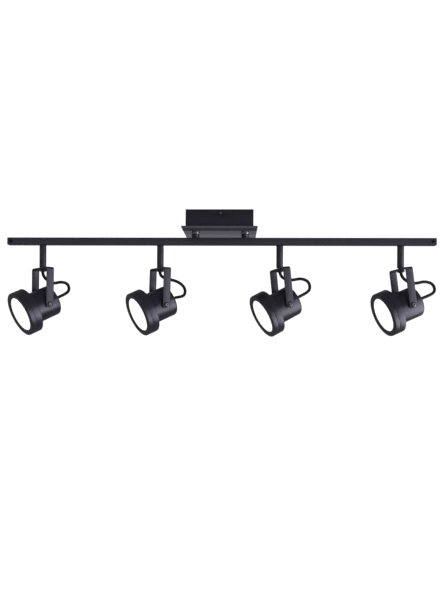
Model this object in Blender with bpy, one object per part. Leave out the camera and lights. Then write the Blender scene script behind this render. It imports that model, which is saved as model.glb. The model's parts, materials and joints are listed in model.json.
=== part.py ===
"""Four-head ceiling bar spotlight.

A square canopy on a ceiling strap carries a straight rectangular bar on two
short posts.  Four stems hang from the bar.  Under each stem a U-shaped yoke
pans about a hollow stud, and a round lamp head tilts between the yoke's legs
on two shoulder screws.  A short lead loops from the stud into the back of
each head.

Metres, +Z up.  Origin: centre of the ceiling strap's top face, in the ceiling
plane.  +X runs along the bar.
"""

import math

import bmesh
import bpy
from mathutils import Matrix, Vector

MM = 0.001
GAP = 0.3  # between touching pieces, mm

# ---------------------------------------------------------------- dimensions, mm
BAR_LENGTH = 838.0
BAR_DEPTH = 16.0
BAR_TOP = -44.7
BAR_BOTTOM = -59.0
BAR_WALL = 1.4
END_CAP_LENGTH = 14.0
END_TONGUE = 14.0
END_SCREW_IN = 7.6  # screw centre from the bar's end

CANOPY_SIDE = 127.0
CANOPY_HEIGHT = 31.6
CANOPY_WALL = 1.2
PLATE_SIDE = 142.0
PLATE_THICK = 3.0
STRAP_WIDTH = 30.0
STRAP_LENGTH = 121.0
STRAP_THICK = 2.0
SIDE_SCREW_Z = -6.4

POST_X = 48.6
POST_R = 7.4
POST_STUD_R = 3.0
WASHER_R = 8.6
WASHER_THICK = 1.2

STEM_X = (-350.2, -117.6, 116.4, 351.2)
STEM_R = 6.6
STUD_R = 4.6
STUD_BORE_R = 3.3
NUT_HEIGHT = 4.2
NUT_ACROSS = 13.0

YOKE_TOP = -103.7
YOKE_DROP = 72.5  # crossbar's top face to the tilt axis
YOKE_HALF = 34.5  # tilt axis centre to the middle of a leg's thickness
YOKE_THICK = 2.5
YOKE_WIDTH = 14.8
YOKE_CORNER = 4.0

HOUSING_R = 30.2
HOUSING_WALL = 2.0
HOUSING_REAR = 25.0
HOUSING_FRONT = -31.5
BEZEL_R = 44.0
BEZEL_REAR = -26.5
BEZEL_FRONT = -50.5
OPENING_R = 33.4
LENS_R = 36.2
SCREW_R = 2.0
SCREW_HEAD_R = 5.0
LEAD_R = 3.0
HEAD_SIDES = 24

# Rest aim of each head, degrees: pan about the stud, tilt of the beam below the
# horizontal, and the small lean of the stud in the bar's own vertical plane.
AIM = ((-49.5, 25.1, -0.5), (-59.5, 25.4, -1.6), (-71.5, 21.8, 5.8), (-78.0, 15.6, 7.2))
# The lead's free loop, in the yoke's own plane: (behind the stud, below the
# crossbar's top face), mm.
LOOPS = (
    ((6.5, -21.5), (20.8, -29.3), (39.0, -26.0), (53.0, -29.0), (56.5, -42.0)),
    ((8.0, -18.5), (24.2, -21.3), (42.3, -26.1), (54.8, -37.1), (54.3, -50.1)),
    ((7.0, -20.5), (23.5, -24.5), (44.0, -23.5), (58.5, -31.0), (59.5, -46.0)),
    ((7.0, -23.0), (25.3, -31.3), (47.5, -30.5), (63.5, -37.5), (65.5, -51.5)),
)

BLACK = ((0.020, 0.019, 0.024), 0.42, 0.35)
STEEL = ((0.55, 0.55, 0.56), 0.32, 1.0)
DARK_STEEL = ((0.10, 0.10, 0.115), 0.38, 0.8)
RUBBER = ((0.012, 0.012, 0.013), 0.6, 0.0)
LENS = ((0.90, 0.90, 0.88), 0.35, 0.0)
BOARD = ((0.80, 0.80, 0.76), 0.5, 0.0)
NYLON = ((0.75, 0.74, 0.70), 0.5, 0.0)
DRIVER = ((0.70, 0.70, 0.72), 0.5, 0.0)


# ---------------------------------------------------------------- helpers
def clear_scene():
    for old in list(bpy.data.objects):
        bpy.data.objects.remove(old, do_unlink=True)


def material(name, look):
    colour, rough, metal = look
    mat = bpy.data.materials.new(name)
    mat.use_nodes = True
    shader = mat.node_tree.nodes["Principled BSDF"]
    shader.inputs["Base Color"].default_value = (*colour, 1.0)
    shader.inputs["Roughness"].default_value = rough
    shader.inputs["Metallic"].default_value = metal
    return mat


def add(name, bm, look, parent=None, smooth=True):
    """A new object from a bmesh in millimetres, in its parent's frame."""
    bmesh.ops.scale(bm, vec=(MM, MM, MM), verts=bm.verts)
    bmesh.ops.recalc_face_normals(bm, faces=bm.faces)
    mesh = bpy.data.meshes.new(name)
    bm.to_mesh(mesh)
    bm.free()
    if smooth:
        mesh.shade_smooth()
        mesh.set_sharp_from_angle(angle=math.radians(35))
    obj = bpy.data.objects.new(name, mesh)
    bpy.context.scene.collection.objects.link(obj)
    if look is not None:
        mesh.materials.append(material(name, look))
    obj.parent = parent
    return obj


def cut(obj, cutter, operation="DIFFERENCE"):
    cutter.hide_render = True
    cutter.display_type = "WIRE"
    modifier = obj.modifiers.new(cutter.name, "BOOLEAN")
    modifier.object = cutter
    modifier.operation = operation
    modifier.solver = "EXACT"


def box_bm(x0, x1, y0, y1, z0, z1, bevel=0.0, along=None):
    """A box; a bevel rounds all its edges, or only those along one axis."""
    bm = bmesh.new()
    bmesh.ops.create_cube(bm, size=1.0)
    bmesh.ops.scale(bm, vec=(x1 - x0, y1 - y0, z1 - z0), verts=bm.verts)
    bmesh.ops.translate(bm, vec=((x0 + x1) / 2, (y0 + y1) / 2, (z0 + z1) / 2), verts=bm.verts)
    if bevel:
        edges = list(bm.edges)
        if along is not None:
            edges = [e for e in edges if abs((e.verts[0].co - e.verts[1].co)[along]) > 1e-6]
        bmesh.ops.bevel(bm, geom=edges, offset=bevel, segments=2, profile=0.5, affect="EDGES")
    return bm


def turned(profile, sides, axis="Z", closed=False):
    """A profile of (distance along the axis, radius) turned about the axis.

    An open profile runs from a point on the axis to a point on the axis.  A
    closed one makes a ring.
    """
    bm = bmesh.new()
    rings = []
    for along, radius in profile:
        if radius < 1e-6:
            rings.append([bm.verts.new(Vector((0, 0, along)))])
            continue
        ring = []
        for i in range(sides):
            t = 2 * math.pi * i / sides
            ring.append(bm.verts.new(Vector((radius * math.cos(t), radius * math.sin(t), along))))
        rings.append(ring)
    pairs = list(zip(rings, rings[1:]))
    if closed:
        pairs.append((rings[-1], rings[0]))
    for low, high in pairs:
        for i in range(sides):
            j = (i + 1) % sides
            if len(low) == 1 and len(high) > 1:
                bm.faces.new((low[0], high[i], high[j]))
            elif len(high) == 1 and len(low) > 1:
                bm.faces.new((low[i], low[j], high[0]))
            elif len(low) > 1 and len(high) > 1:
                bm.faces.new((low[i], low[j], high[j], high[i]))
    turn = {
        "Z": Matrix.Identity(4),
        "X": Matrix.Rotation(math.radians(90), 4, "Y"),
        "Y": Matrix.Rotation(math.radians(-90), 4, "X"),
    }[axis]
    bmesh.ops.transform(bm, matrix=turn, verts=bm.verts)
    return bm


def rod(z0, z1, radius, sides=20, axis="Z", at=(0, 0, 0)):
    bm = turned([(z0, 0), (z0, radius), (z1, radius), (z1, 0)], sides, axis)
    bmesh.ops.translate(bm, vec=at, verts=bm.verts)
    return bm


def empty(name, matrix, parent=None):
    obj = bpy.data.objects.new(name, None)
    obj.empty_display_size = 0.02
    bpy.context.scene.collection.objects.link(obj)
    obj.parent = parent
    obj.matrix_local = matrix
    return obj


def basis(a, b, c, origin):
    m = Matrix((a, b, c)).transposed().to_4x4()
    m.translation = origin
    return m


# ---------------------------------------------------------------- canopy
def make_canopy():
    half = CANOPY_SIDE / 2
    inner = half - CANOPY_WALL
    box = add("canopy_box", box_bm(-half, half, -half, half, -CANOPY_HEIGHT, 0, 0.8, along=2), BLACK)
    cut(box, add("cut_canopy_hollow", box_bm(-inner, inner, -inner, inner, -CANOPY_HEIGHT + CANOPY_WALL, 5), None))
    cut(box, add("cut_canopy_screws", rod(-half - 5, half + 5, 2.2, 16, "Y", (0, 0, SIDE_SCREW_Z)), None))
    plate_top = -CANOPY_HEIGHT - GAP
    plate_bottom = plate_top - PLATE_THICK
    side = PLATE_SIDE / 2
    plate = add("canopy_plate", box_bm(-side, side, -side, side, plate_bottom, plate_top, 0.6), BLACK)
    for name, x in (("left", -POST_X), ("right", POST_X)):
        hole = add(f"cut_post_{name}", rod(plate_bottom - 3, -CANOPY_HEIGHT + 5, POST_STUD_R + GAP, 14, "Z", (x, 0, 0)), None)
        cut(box, hole)
        cut(plate, hole)

    strap = add("ceiling_bracket", box_bm(-STRAP_WIDTH / 2, STRAP_WIDTH / 2, -STRAP_LENGTH / 2, STRAP_LENGTH / 2, -STRAP_THICK, 0), STEEL, smooth=False)
    for name, s in (("front", -1), ("back", 1)):
        outer = s * STRAP_LENGTH / 2
        inner_y = s * (STRAP_LENGTH / 2 - STRAP_THICK)
        ear = add(f"join_ear_{name}", box_bm(-10, 10, min(outer, inner_y), max(outer, inner_y), -14, -STRAP_THICK / 2), None)
        cut(strap, ear, "UNION")
    cut(strap, add("cut_ear_screws", rod(-80, 80, 2.2, 16, "Y", (0, 0, SIDE_SCREW_Z)), None))
    # Fixing slots for the ceiling box screws, 83 mm apart, and the earth screw's hole.
    for name, y in (("front", -41.5), ("back", 41.5)):
        slot = add(f"cut_fixing_slot_{name}", box_bm(-2.4, 2.4, y - 6, y + 6, -10, 5), None)
        cut(strap, slot)

    for name, s in (("front", -1), ("back", 1)):
        head_in = half + GAP
        profile = [
            (STRAP_LENGTH / 2 - 5, 0), (STRAP_LENGTH / 2 - 5, 1.9), (head_in, 1.9), (head_in, 3.8),
            (head_in + 1.2, 3.6), (head_in + 2.0, 2.4), (head_in + 2.2, 0),
        ]
        bm = turned([(s * y, r) for y, r in profile], 20, "Y")
        bmesh.ops.translate(bm, vec=(0, 0, SIDE_SCREW_Z), verts=bm.verts)
        add(f"side_screw_{name}", bm, DARK_STEEL)

    floor = -CANOPY_HEIGHT + CANOPY_WALL
    add("led_driver", box_bm(19.5, 42.5, -42, 42, floor + GAP, floor + 20, 1.0), DRIVER, smooth=False)
    block = add("terminal_block", box_bm(-12, 12, -8, 8, floor + GAP, floor + 13.5, 0.6), NYLON, smooth=False)
    for i, x in enumerate((-7.2, 0.0, 7.2)):
        cut(block, add(f"cut_terminal_{i}", rod(-12, 12, 1.8, 12, "Y", (x, 0, floor + 6)), None))

    washer_top = plate_bottom - GAP
    washer_bottom = washer_top - WASHER_THICK
    for name, x in (("left", -POST_X), ("right", POST_X)):
        ring = turned(
            [(washer_bottom, POST_STUD_R + GAP), (washer_bottom, WASHER_R), (washer_top, WASHER_R), (washer_top, POST_STUD_R + GAP)],
            24, closed=True,
        )
        bmesh.ops.translate(ring, vec=(x, 0, 0), verts=ring.verts)
        add(f"post_washer_{name}", ring, STEEL)
        top = washer_bottom - GAP
        bottom = BAR_TOP + GAP
        # Hollow, with a stud at each end: wires pass from the canopy into the bar.
        post = turned(
            [
                (BAR_TOP - 6, 1.6), (BAR_TOP - 6, POST_STUD_R), (bottom, POST_STUD_R), (bottom, POST_R - 0.6), (bottom + 0.6, POST_R),
                (top - 0.6, POST_R), (top, POST_R - 0.6), (top, POST_STUD_R), (floor + 5, POST_STUD_R), (floor + 5, 1.6),
            ],
            16, closed=True,
        )
        bmesh.ops.translate(post, vec=(x, 0, 0), verts=post.verts)
        add(f"post_{name}", post, DARK_STEEL)


# ---------------------------------------------------------------- bar
def make_bar():
    y = BAR_DEPTH / 2
    end = BAR_LENGTH / 2
    inner_end = end - END_CAP_LENGTH - GAP
    bar = add("track_bar", box_bm(-inner_end, inner_end, -y, y, BAR_BOTTOM, BAR_TOP, 1.2, along=0), BLACK)
    w = BAR_WALL
    cut(bar, add("cut_bar_hollow", box_bm(-end, end, -y + w, y - w, BAR_BOTTOM + w, BAR_TOP - w), None))
    for name, x in (("left", -POST_X), ("right", POST_X)):
        cut(bar, add(f"cut_bar_top_{name}", rod(BAR_TOP - 4, BAR_TOP + 4, POST_STUD_R + GAP, 14, "Z", (x, 0, 0)), None))
    for i, x in enumerate(STEM_X, 1):
        cut(bar, add(f"cut_bar_stem_{i}", rod(BAR_BOTTOM - 4, BAR_BOTTOM + 4, STUD_R + GAP, 14, "Z", (x, 0, 0)), None))
    mid = (BAR_TOP + BAR_BOTTOM) / 2
    for name, s in (("left", -1), ("right", 1)):
        a, b = s * (end - END_CAP_LENGTH), s * end
        cap = add(f"end_cap_{name}", box_bm(min(a, b), max(a, b), -y, y, BAR_BOTTOM, BAR_TOP, 1.2, along=0), BLACK)
        t0, t1 = s * (end - END_CAP_LENGTH - END_TONGUE), s * (end - END_CAP_LENGTH + 2)
        g = w + GAP
        tongue = add(f"join_tongue_{name}", box_bm(min(t0, t1), max(t0, t1), -y + g, y - g, BAR_BOTTOM + g, BAR_TOP - g), None)
        cut(cap, tongue, "UNION")
        x = s * (end - END_SCREW_IN)
        cut(cap, add(f"cut_end_screw_{name}", rod(-y - 3, -y + 9, 1.6, 16, "Y", (x, 0, mid)), None))
        cut(cap, add(f"cut_end_sink_{name}", rod(-y - 3, -y + 1.5, 3.0, 20, "Y", (x, 0, mid)), None))
        screw = turned([(-y + 0.4, 0), (-y + 0.4, 2.6), (-y + 1.2, 2.6), (-y + 1.2, 1.25), (-y + 8, 1.25), (-y + 8, 0)], 20, "Y")
        bmesh.ops.translate(screw, vec=(x, 0, mid), verts=screw.verts)
        add(f"end_screw_{name}", screw, DARK_STEEL)


# ---------------------------------------------------------------- one head
def yoke_bm():
    """A flat strip bent to a U, its two ends rounded about the tilt axis."""
    bm = bmesh.new()
    half_t, half_w = YOKE_THICK / 2, YOKE_WIDTH / 2
    side = []  # (x, z, normal x, normal z, half width) from the leg's foot to the crossbar's middle
    steps = 5
    for i in range(steps + 1):
        t = math.pi / 2 * i / steps
        side.append((YOKE_HALF, -YOKE_DROP - half_w * math.cos(t), 1.0, 0.0, half_w * math.sin(t)))
    turn_z = -half_t - YOKE_CORNER
    for i in range(5):
        t = math.pi / 2 * i / 4
        nx, nz = math.cos(t), math.sin(t)
        side.append((YOKE_HALF - YOKE_CORNER + YOKE_CORNER * nx, turn_z + YOKE_CORNER * nz, nx, nz, half_w))
    path = side + [(-x, z, -nx, nz, w) for x, z, nx, nz, w in reversed(side)]
    rings = []
    for x, z, nx, nz, w in path:
        out = Vector((nx * half_t, 0, nz * half_t))
        at = Vector((x, 0, z))
        across = Vector((0, w, 0))
        rings.append([bm.verts.new(at + out - across), bm.verts.new(at + out + across), bm.verts.new(at - out + across), bm.verts.new(at - out - across)])
    for low, high in zip(rings, rings[1:]):
        for i in range(4):
            j = (i + 1) % 4
            bm.faces.new((low[i], low[j], high[j], high[i]))
    bmesh.ops.remove_doubles(bm, verts=bm.verts, dist=1e-4)
    return bm


def nut_bm(z0, z1):
    """A hexagon nut with chamfered corners and a plain bore."""
    bm = turned([(z0, STUD_R + GAP), (z0, NUT_ACROSS / 2 / math.cos(math.pi / 6)), (z1, NUT_ACROSS / 2 / math.cos(math.pi / 6)), (z1, STUD_R + GAP)], 24, closed=True)
    flat = NUT_ACROSS / 2
    for v in bm.verts:
        if v.co.xy.length > STUD_R + 1:
            angle = math.atan2(v.co.y, v.co.x)
            off = (angle + math.pi / 6) % (math.pi / 3) - math.pi / 6
            r = flat / math.cos(off)
            v.co.x, v.co.y = r * math.cos(angle), r * math.sin(angle)
    return bm


def lead_points(loop, tilt):
    """The lead's centre line in the yoke's plane, from inside the stud to inside the gland."""
    back = Vector((0, math.cos(tilt), math.sin(tilt)))
    pivot = Vector((0, 0, -YOKE_DROP))
    start = [Vector((0, 0, -2.0)), Vector((0, 0, -7.0)), Vector((0, 0, -12.5))]
    free = [Vector((0, b, z)) for b, z in loop]
    end = [pivot + back * d for d in (37.0, 30.0, 23.0)]
    knots = start + free + end
    fine = []
    padded = [knots[0] * 2 - knots[1]] + knots + [knots[-1] * 2 - knots[-2]]
    for p0, p1, p2, p3 in zip(padded, padded[1:], padded[2:], padded[3:]):
        # Centripetal Catmull-Rom between p1 and p2.
        t0 = 0.0
        t1 = t0 + max((p1 - p0).length, 1e-6) ** 0.5
        t2 = t1 + max((p2 - p1).length, 1e-6) ** 0.5
        t3 = t2 + max((p3 - p2).length, 1e-6) ** 0.5
        for i in range(12):
            t = t1 + (t2 - t1) * i / 12
            a1 = p0.lerp(p1, (t - t0) / (t1 - t0))
            a2 = p1.lerp(p2, (t - t1) / (t2 - t1))
            a3 = p2.lerp(p3, (t - t2) / (t3 - t2))
            b1 = a1.lerp(a2, (t - t0) / (t2 - t0))
            b2 = a2.lerp(a3, (t - t1) / (t3 - t1))
            fine.append(b1.lerp(b2, (t - t1) / (t2 - t1)))
    fine.append(knots[-1])
    # Even spacing along the curve.
    total = sum((q - p).length for p, q in zip(fine, fine[1:]))
    count = 20
    out, travelled, k = [fine[0]], 0.0, 0
    for i in range(1, count):
        want = total * i / count
        while travelled + (fine[k + 1] - fine[k]).length < want:
            travelled += (fine[k + 1] - fine[k]).length
            k += 1
        share = (want - travelled) / (fine[k + 1] - fine[k]).length
        out.append(fine[k].lerp(fine[k + 1], share))
    out.append(fine[-1])
    return out


def make_head(n, x, aim, loop):
    pan, tilt, lean = (math.radians(v) for v in aim)
    up = Vector((-math.sin(lean), 0, math.cos(lean)))
    level = Vector((math.cos(lean), 0, math.sin(lean)))
    a = Matrix.Rotation(pan, 3, up) @ level
    b = up.cross(a)
    pan_axis = empty(f"pan_axis_{n}", basis(a, b, up, Vector((x, 0, YOKE_TOP)) * MM))
    tilt_axis = empty(f"tilt_axis_{n}", Matrix.Translation(Vector((0, 0, -YOKE_DROP)) * MM) @ Matrix.Rotation(tilt, 4, "X"), pan_axis)

    # Stem: a plain tube with a neck into the bar and a hollow stud below.
    shoulder = YOKE_TOP + GAP + STEM_R * math.sin(abs(lean)) + 0.05
    stem = turned(
        [
            (BAR_BOTTOM + 4.5, 0), (BAR_BOTTOM + 4.5, STUD_R), (BAR_BOTTOM - GAP, STUD_R), (BAR_BOTTOM - GAP, STEM_R - 0.4),
            (BAR_BOTTOM - GAP - 0.4, STEM_R), (shoulder + 0.6, STEM_R), (shoulder, STEM_R - 0.6), (shoulder, 0),
        ],
        18,
    )
    bmesh.ops.translate(stem, vec=(x, 0, 0), verts=stem.verts)
    stem = add(f"stem_{n}", stem, BLACK)
    stud_end = -YOKE_THICK - GAP - NUT_HEIGHT - 1.2
    cut(stem, add(f"join_stud_{n}", rod(stud_end, 8, STUD_R, 16), None, pan_axis), "UNION")
    cut(stem, add(f"cut_stud_bore_{n}", rod(stud_end - 3, 6, STUD_BORE_R, 14), None, pan_axis))

    nut_top = -YOKE_THICK - GAP
    add(f"swivel_nut_{n}", nut_bm(nut_top - NUT_HEIGHT, nut_top), STEEL, pan_axis)

    yoke = add(f"yoke_{n}", yoke_bm(), BLACK, pan_axis)
    cut(yoke, add(f"cut_yoke_stud_{n}", rod(-8, 5, STUD_R + GAP + 0.1, 16), None, pan_axis))
    cut(yoke, add(f"cut_yoke_pivots_{n}", rod(-50, 50, SCREW_R + GAP, 12, "X", (0, 0, -YOKE_DROP)), None, pan_axis))

    curve = bpy.data.curves.new(f"lead_{n}", "CURVE")
    curve.dimensions = "3D"
    curve.bevel_depth = LEAD_R * MM
    curve.bevel_resolution = 2
    curve.use_fill_caps = True
    points = lead_points(loop, tilt)
    spline = curve.splines.new("POLY")
    spline.points.add(len(points) - 1)
    for point, at in zip(spline.points, points):
        point.co = (*(at * MM), 1.0)
    lead = bpy.data.objects.new(f"lead_{n}", curve)
    bpy.context.scene.collection.objects.link(lead)
    curve.materials.append(material(f"lead_{n}", RUBBER))
    lead.parent = pan_axis

    # Housing: a cup open to the front (-Y), a boss on each side for its screw.
    r, w = HOUSING_R, HOUSING_WALL
    profile = [(HOUSING_FRONT, r - w), (HOUSING_FRONT, r)]
    rounding = 4.6
    for i in range(5):
        t = math.pi / 2 * i / 4
        profile.append((HOUSING_REAR - rounding + rounding * math.sin(t), r - rounding + rounding * math.cos(t)))
    profile += [(HOUSING_REAR, 0), (HOUSING_REAR - 3.0, 0), (HOUSING_REAR - 3.0, r - w - 3.0), (HOUSING_REAR - 6.0, r - w)]
    ring_part = profile[: profile.index((HOUSING_REAR, 0)) + 1]
    inner_part = profile[profile.index((HOUSING_REAR, 0)) + 1 :]
    body = turned([(HOUSING_FRONT, 0)] + ring_part[1:], HEAD_SIDES, "Y")
    housing = add(f"housing_{n}", body, BLACK, tilt_axis)
    hollow = turned([(HOUSING_FRONT - 5, 0), (HOUSING_FRONT - 5, r - w)] + [inner_part[2], inner_part[1], inner_part[0]], HEAD_SIDES, "Y")
    cut(housing, add(f"cut_housing_hollow_{n}", hollow, None, tilt_axis))
    boss_end = YOKE_HALF - YOKE_THICK / 2 - 0.35
    for name, s in (("left", -1), ("right", 1)):
        boss = add(f"join_boss_{name}_{n}", rod(min(s * 28.9, s * boss_end), max(s * 28.9, s * boss_end), 6.4, 14, "X"), None, tilt_axis)
        cut(housing, boss, "UNION")
    cut(housing, add(f"cut_housing_pivots_{n}", rod(-45, 45, SCREW_R + GAP, 12, "X"), None, tilt_axis))
    cut(housing, add(f"cut_housing_gland_{n}", rod(HOUSING_REAR - 8, HOUSING_REAR + 5, 5.0, 14, "Y"), None, tilt_axis))

    bezel = turned(
        [
            (BEZEL_REAR, HOUSING_R + 0.4), (BEZEL_REAR, BEZEL_R - 1.0), (BEZEL_REAR - 1.0, BEZEL_R),
            (BEZEL_FRONT + 1.0, BEZEL_R), (BEZEL_FRONT, BEZEL_R - 1.2), (BEZEL_FRONT, OPENING_R + 2.2), (BEZEL_FRONT + 1.4, OPENING_R),
            (BEZEL_FRONT + 2.3, OPENING_R), (BEZEL_FRONT + 2.3, LENS_R + GAP), (BEZEL_REAR - 2.0, LENS_R + GAP), (BEZEL_REAR - 2.0, HOUSING_R + 0.4),
        ],
        HEAD_SIDES, "Y", closed=True,
    )
    add(f"bezel_{n}", bezel, BLACK, tilt_axis)
    lens_front = BEZEL_FRONT + 2.3 + GAP
    lens = turned([(lens_front, 0), (lens_front, LENS_R - 0.3), (lens_front + 0.3, LENS_R), (lens_front + 2.6, LENS_R), (lens_front + 2.6, 0)], HEAD_SIDES, "Y")
    add(f"lens_{n}", lens, LENS, tilt_axis)
    board_back = HOUSING_FRONT - GAP
    board = turned(
        [
            (board_back, 0), (board_back, 31.5), (board_back - 1.6, 31.5), (board_back - 1.6, 12.0),
            (board_back - 2.8, 11.0), (board_back - 2.8, 0),
        ],
        HEAD_SIDES, "Y",
    )
    add(f"led_board_{n}", board, BOARD, tilt_axis)

    head_in = YOKE_HALF + YOKE_THICK / 2 + GAP
    screw = [
        (27.6, 0), (27.6, SCREW_R), (head_in, SCREW_R), (head_in, SCREW_HEAD_R), (head_in + 1.4, SCREW_HEAD_R),
        (head_in + 2.4, 3.2), (head_in + 2.4, 0),
    ]
    for name, s in (("left", -1), ("right", 1)):
        add(f"pivot_screw_{name}_{n}", turned([(s * d, rad) for d, rad in screw], 14, "X"), DARK_STEEL, tilt_axis)

    gland = turned(
        [
            (HOUSING_REAR - 4.5, LEAD_R + GAP), (HOUSING_REAR - 4.5, 4.6), (HOUSING_REAR + GAP, 4.6), (HOUSING_REAR + GAP, 7.0),
            (HOUSING_REAR + 2.2, 7.0), (HOUSING_REAR + 3.0, 6.0), (HOUSING_REAR + 9.0, 4.6), (HOUSING_REAR + 9.0, LEAD_R + GAP),
        ],
        14, "Y", closed=True,
    )
    add(f"cord_gland_{n}", gland, RUBBER, tilt_axis)


def main():
    clear_scene()
    make_canopy()
    make_bar()
    for n, (x, aim, loop) in enumerate(zip(STEM_X, AIM, LOOPS), 1):
        make_head(n, x, aim, loop)
    bpy.context.view_layer.update()


main()
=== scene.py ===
"""Looks for the four-head ceiling bar spotlight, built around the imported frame."""

import json
import math

import bmesh
import bpy
from mathutils import Matrix, Vector


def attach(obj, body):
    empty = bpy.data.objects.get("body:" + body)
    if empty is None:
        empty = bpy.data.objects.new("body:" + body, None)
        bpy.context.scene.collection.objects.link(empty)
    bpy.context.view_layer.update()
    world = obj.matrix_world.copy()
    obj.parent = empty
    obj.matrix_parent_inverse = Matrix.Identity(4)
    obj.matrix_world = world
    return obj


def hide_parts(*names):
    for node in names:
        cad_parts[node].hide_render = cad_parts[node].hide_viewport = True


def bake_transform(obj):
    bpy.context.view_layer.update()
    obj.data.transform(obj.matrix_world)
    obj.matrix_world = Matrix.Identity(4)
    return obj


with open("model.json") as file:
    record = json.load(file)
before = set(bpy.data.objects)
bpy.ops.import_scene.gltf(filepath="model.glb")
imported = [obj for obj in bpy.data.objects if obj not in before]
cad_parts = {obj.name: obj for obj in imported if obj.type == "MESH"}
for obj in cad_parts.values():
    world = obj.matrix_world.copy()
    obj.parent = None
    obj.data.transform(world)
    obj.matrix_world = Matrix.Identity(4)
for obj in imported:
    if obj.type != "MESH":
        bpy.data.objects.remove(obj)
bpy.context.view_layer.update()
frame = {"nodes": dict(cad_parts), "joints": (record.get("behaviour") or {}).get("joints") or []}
MM = 0.001
NODES = frame["nodes"]
JOINTS = {j["name"]: j for j in frame["joints"]}

# Sizes in mm, the same as the design's.
BAR_LENGTH, BAR_DEPTH, BAR_TOP, BAR_BOTTOM, BAR_WALL = 838.0, 16.0, -44.7, -59.0, 1.4
END_CAP, END_SCREW_IN = 14.0, 7.6
CANOPY_SIDE, CANOPY_HEIGHT, CANOPY_WALL = 127.0, 31.6, 1.2
PLATE_SIDE, PLATE_THICK = 142.0, 3.0
SIDE_SCREW_Z = -6.4
POST_X, POST_R, POST_STUD_R = 48.6, 7.4, 3.0
WASHER_R, WASHER_THICK = 8.6, 1.2
STEM_R, STUD_R, STUD_BORE_R = 6.6, 4.6, 3.3
NUT_HEIGHT, NUT_ACROSS = 4.2, 13.0
YOKE_DROP, YOKE_HALF, YOKE_THICK, YOKE_WIDTH, YOKE_CORNER = 72.5, 34.5, 2.5, 14.8, 4.0
HOUSING_R, HOUSING_WALL, HOUSING_REAR, HOUSING_FRONT = 30.2, 2.0, 25.0, -31.5
BEZEL_R, BEZEL_REAR, BEZEL_FRONT, OPENING_R, LENS_R = 44.0, -26.5, -50.5, 33.4, 36.2
SCREW_R, SCREW_HEAD_R, LEAD_R, GAP = 2.0, 5.0, 3.0, 0.3
PLATE_TOP = -CANOPY_HEIGHT - GAP
PLATE_BOTTOM = PLATE_TOP - PLATE_THICK
LOOPS = (
    ((6.5, -21.5), (20.8, -29.3), (39.0, -26.0), (53.0, -29.0), (56.5, -42.0)),
    ((8.0, -18.5), (24.2, -21.3), (42.3, -26.1), (54.8, -37.1), (54.3, -50.1)),
    ((7.0, -20.5), (23.5, -24.5), (44.0, -23.5), (58.5, -31.0), (59.5, -46.0)),
    ((7.0, -23.0), (25.3, -31.3), (47.5, -30.5), (63.5, -37.5), (65.5, -51.5)),
)
SCENE = bpy.context.scene


# ---------------------------------------------------------------- materials
def new_material(name):
    mat = bpy.data.materials.new(name)
    mat.use_nodes = True
    tree = mat.node_tree
    shader = tree.nodes["Principled BSDF"]
    return mat, tree, shader


def link(tree, a, b):
    tree.links.new(a, b)


def noise(tree, scale, detail=3.0, rough=0.5, coords="Object", stretch=(1, 1, 1)):
    where = tree.nodes.new("ShaderNodeTexCoord")
    place = tree.nodes.new("ShaderNodeMapping")
    place.inputs["Scale"].default_value = stretch
    n = tree.nodes.new("ShaderNodeTexNoise")
    n.inputs["Scale"].default_value = scale
    n.inputs["Detail"].default_value = detail
    n.inputs["Roughness"].default_value = rough
    link(tree, where.outputs[coords], place.inputs["Vector"])
    link(tree, place.outputs["Vector"], n.inputs["Vector"])
    return n


def ramp(tree, source, stops):
    r = tree.nodes.new("ShaderNodeValToRGB")
    while len(r.color_ramp.elements) < len(stops):
        r.color_ramp.elements.new(0.5)
    for e, (pos, col) in zip(r.color_ramp.elements, stops):
        e.position = pos
        e.color = (*col, 1.0) if hasattr(col, "__len__") else (col, col, col, 1.0)
    link(tree, source, r.inputs["Fac"])
    return r


def bump(tree, shader, height, strength, distance):
    b = tree.nodes.new("ShaderNodeBump")
    b.inputs["Strength"].default_value = strength
    b.inputs["Distance"].default_value = distance
    link(tree, height, b.inputs["Height"])
    link(tree, b.outputs["Normal"], shader.inputs["Normal"])
    return b


def painted_edge_highlight(tree, base, tip, amount=0.25):
    """Mixes a lighter tone in along convex edges: a painted highlight."""
    geo = tree.nodes.new("ShaderNodeNewGeometry")
    edge = ramp(tree, geo.outputs["Pointiness"], [(0.515, 0.0), (0.57, 1.0)])
    scale = tree.nodes.new("ShaderNodeMath")
    scale.operation = "MULTIPLY"
    scale.inputs[1].default_value = amount
    link(tree, edge.outputs["Color"], scale.inputs[0])
    mix = tree.nodes.new("ShaderNodeMix")
    mix.data_type = "RGBA"
    mix.inputs["B"].default_value = (*tip, 1)
    link(tree, base, mix.inputs["A"])
    link(tree, scale.outputs[0], mix.inputs["Factor"])
    return mix.outputs["Result"]


def powder_coat(name, dark, light, rough_lo, rough_hi, grain=1500.0, depth=0.12, specular=0.5):
    """Satin powder coat: fine orange peel, slight mottling of tone and gloss."""
    mat, tree, shader = new_material(name)
    mottle = noise(tree, 26.0, 4.0, 0.6)
    tone = ramp(tree, mottle.outputs["Fac"], [(0.3, dark), (0.7, light)])
    # painted highlight: a lighter tone along convex edges
    colour = painted_edge_highlight(tree, tone.outputs["Color"], tuple(min(1, 2.2 * c) for c in light), 0.5)
    link(tree, colour, shader.inputs["Base Color"])
    gloss = noise(tree, 60.0, 3.0, 0.55)
    rough = ramp(tree, gloss.outputs["Fac"], [(0.3, rough_lo), (0.7, rough_hi)])
    link(tree, rough.outputs["Color"], shader.inputs["Roughness"])
    peel = noise(tree, grain, 2.0, 0.5)
    bump(tree, shader, peel.outputs["Fac"], depth, 0.0002)
    shader.inputs["Specular IOR Level"].default_value = specular
    shader.inputs["Specular Tint"].default_value = (0.84, 0.82, 1.0, 1.0)
    return mat


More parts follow.
